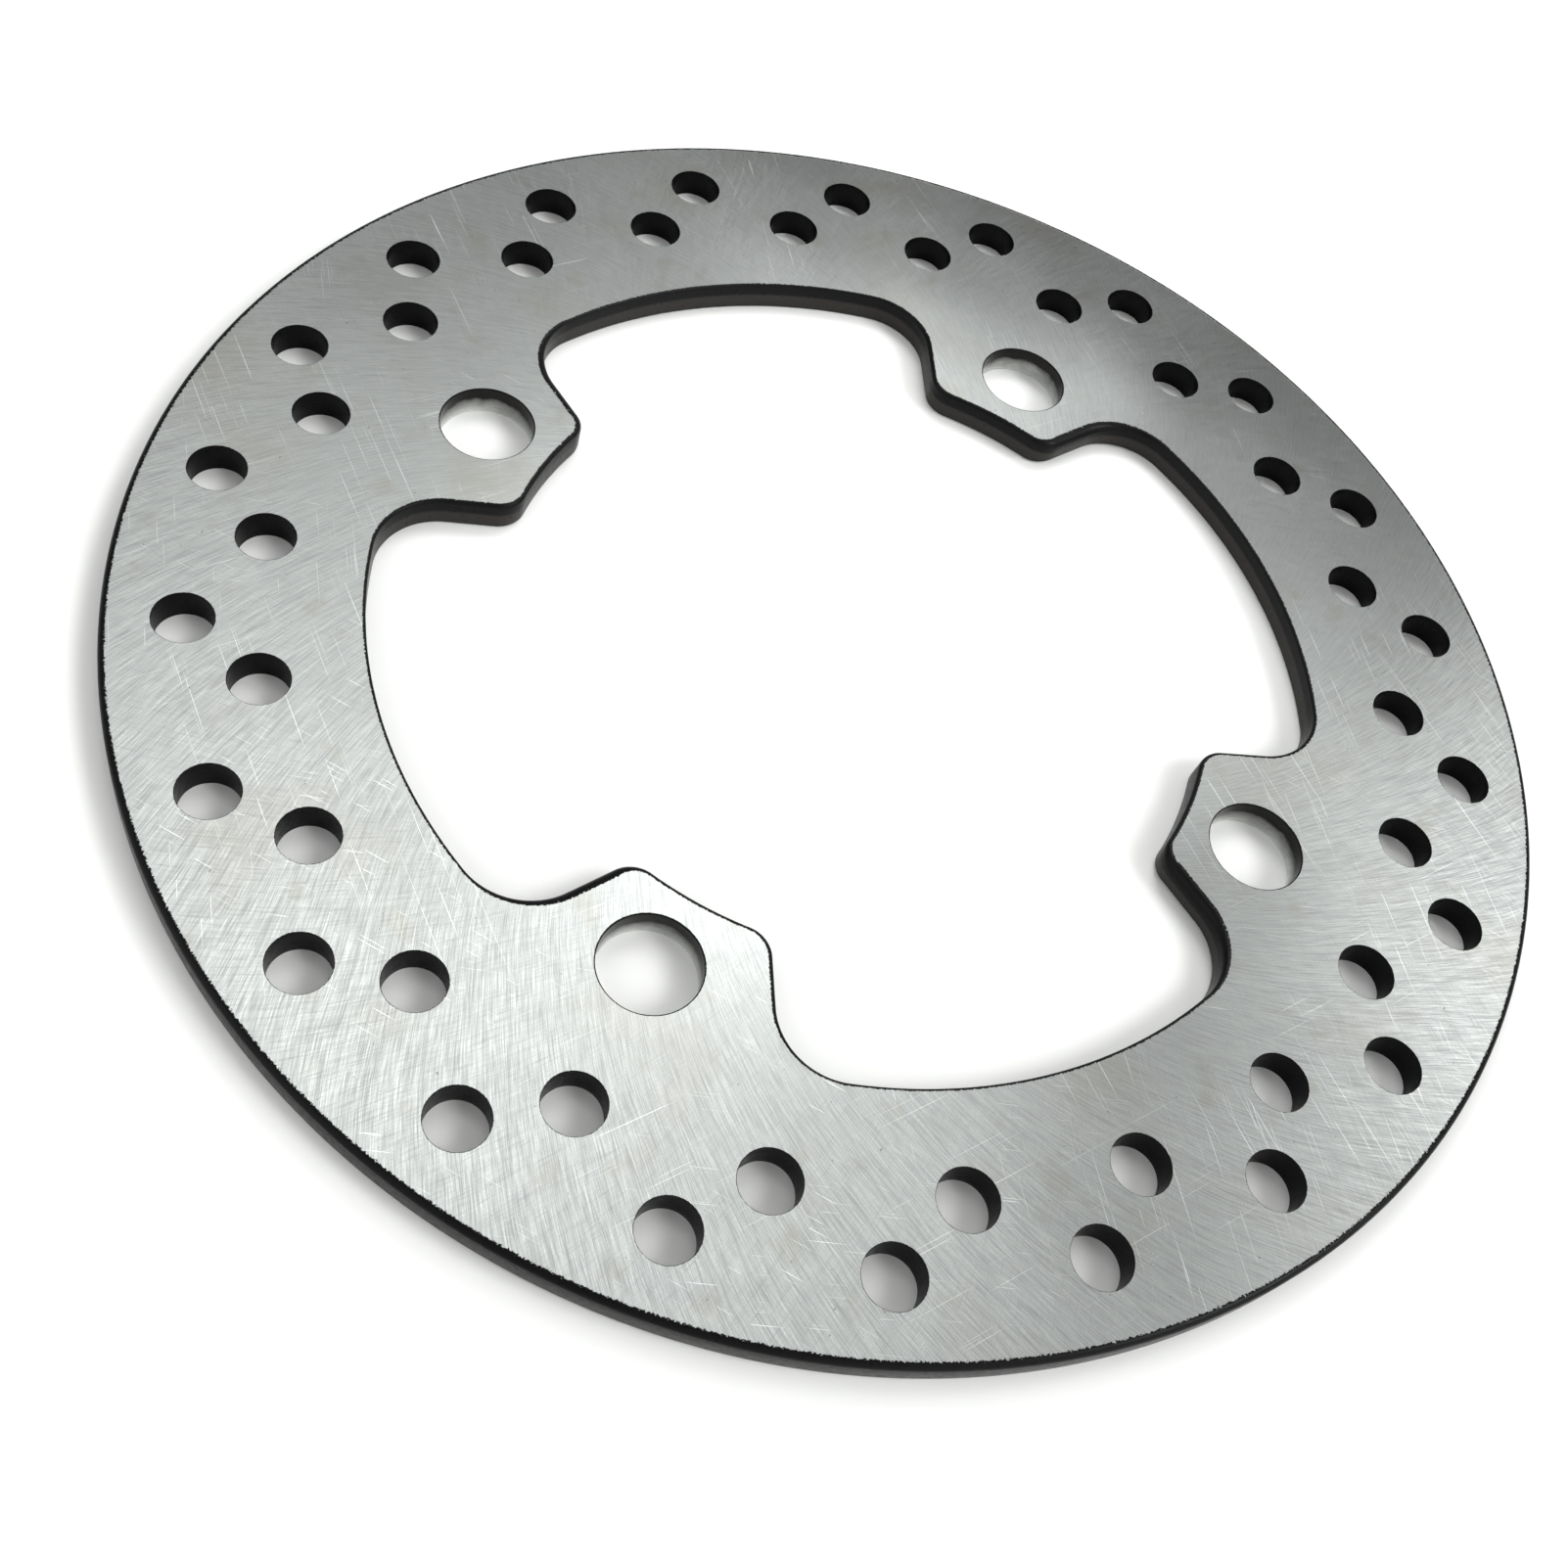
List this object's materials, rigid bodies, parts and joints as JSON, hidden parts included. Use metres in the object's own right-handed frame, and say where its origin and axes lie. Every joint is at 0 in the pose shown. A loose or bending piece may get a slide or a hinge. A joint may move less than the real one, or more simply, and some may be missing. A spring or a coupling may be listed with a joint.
{
  "type": "brake disc rotor",
  "caption": "Flat one-piece motorcycle brake rotor: a drilled, ground steel ring with an open centre and inward lugs that bolt to the wheel hub.",
  "frame": {"origin": "on the rotor's axis, at the hub-side face", "axes": "+Z along the rotor's axis, from the hub-side face to the outer face; the bolt holes lie at 45 degrees to X and Y"},
  "size_m": [0.22, 0.22, 0.005],
  "materials": {
    "rotor_steel": "ground satin steel on both flat faces with fine hand-sanding strokes; semi-gloss black coating on the rim, the opening's walls and the drilled holes' walls; bare machined bolt-hole walls"
  },
  "bodies": {
    "root": {"rotor_plate": "rotor_steel"}
  },
  "joints": []
}
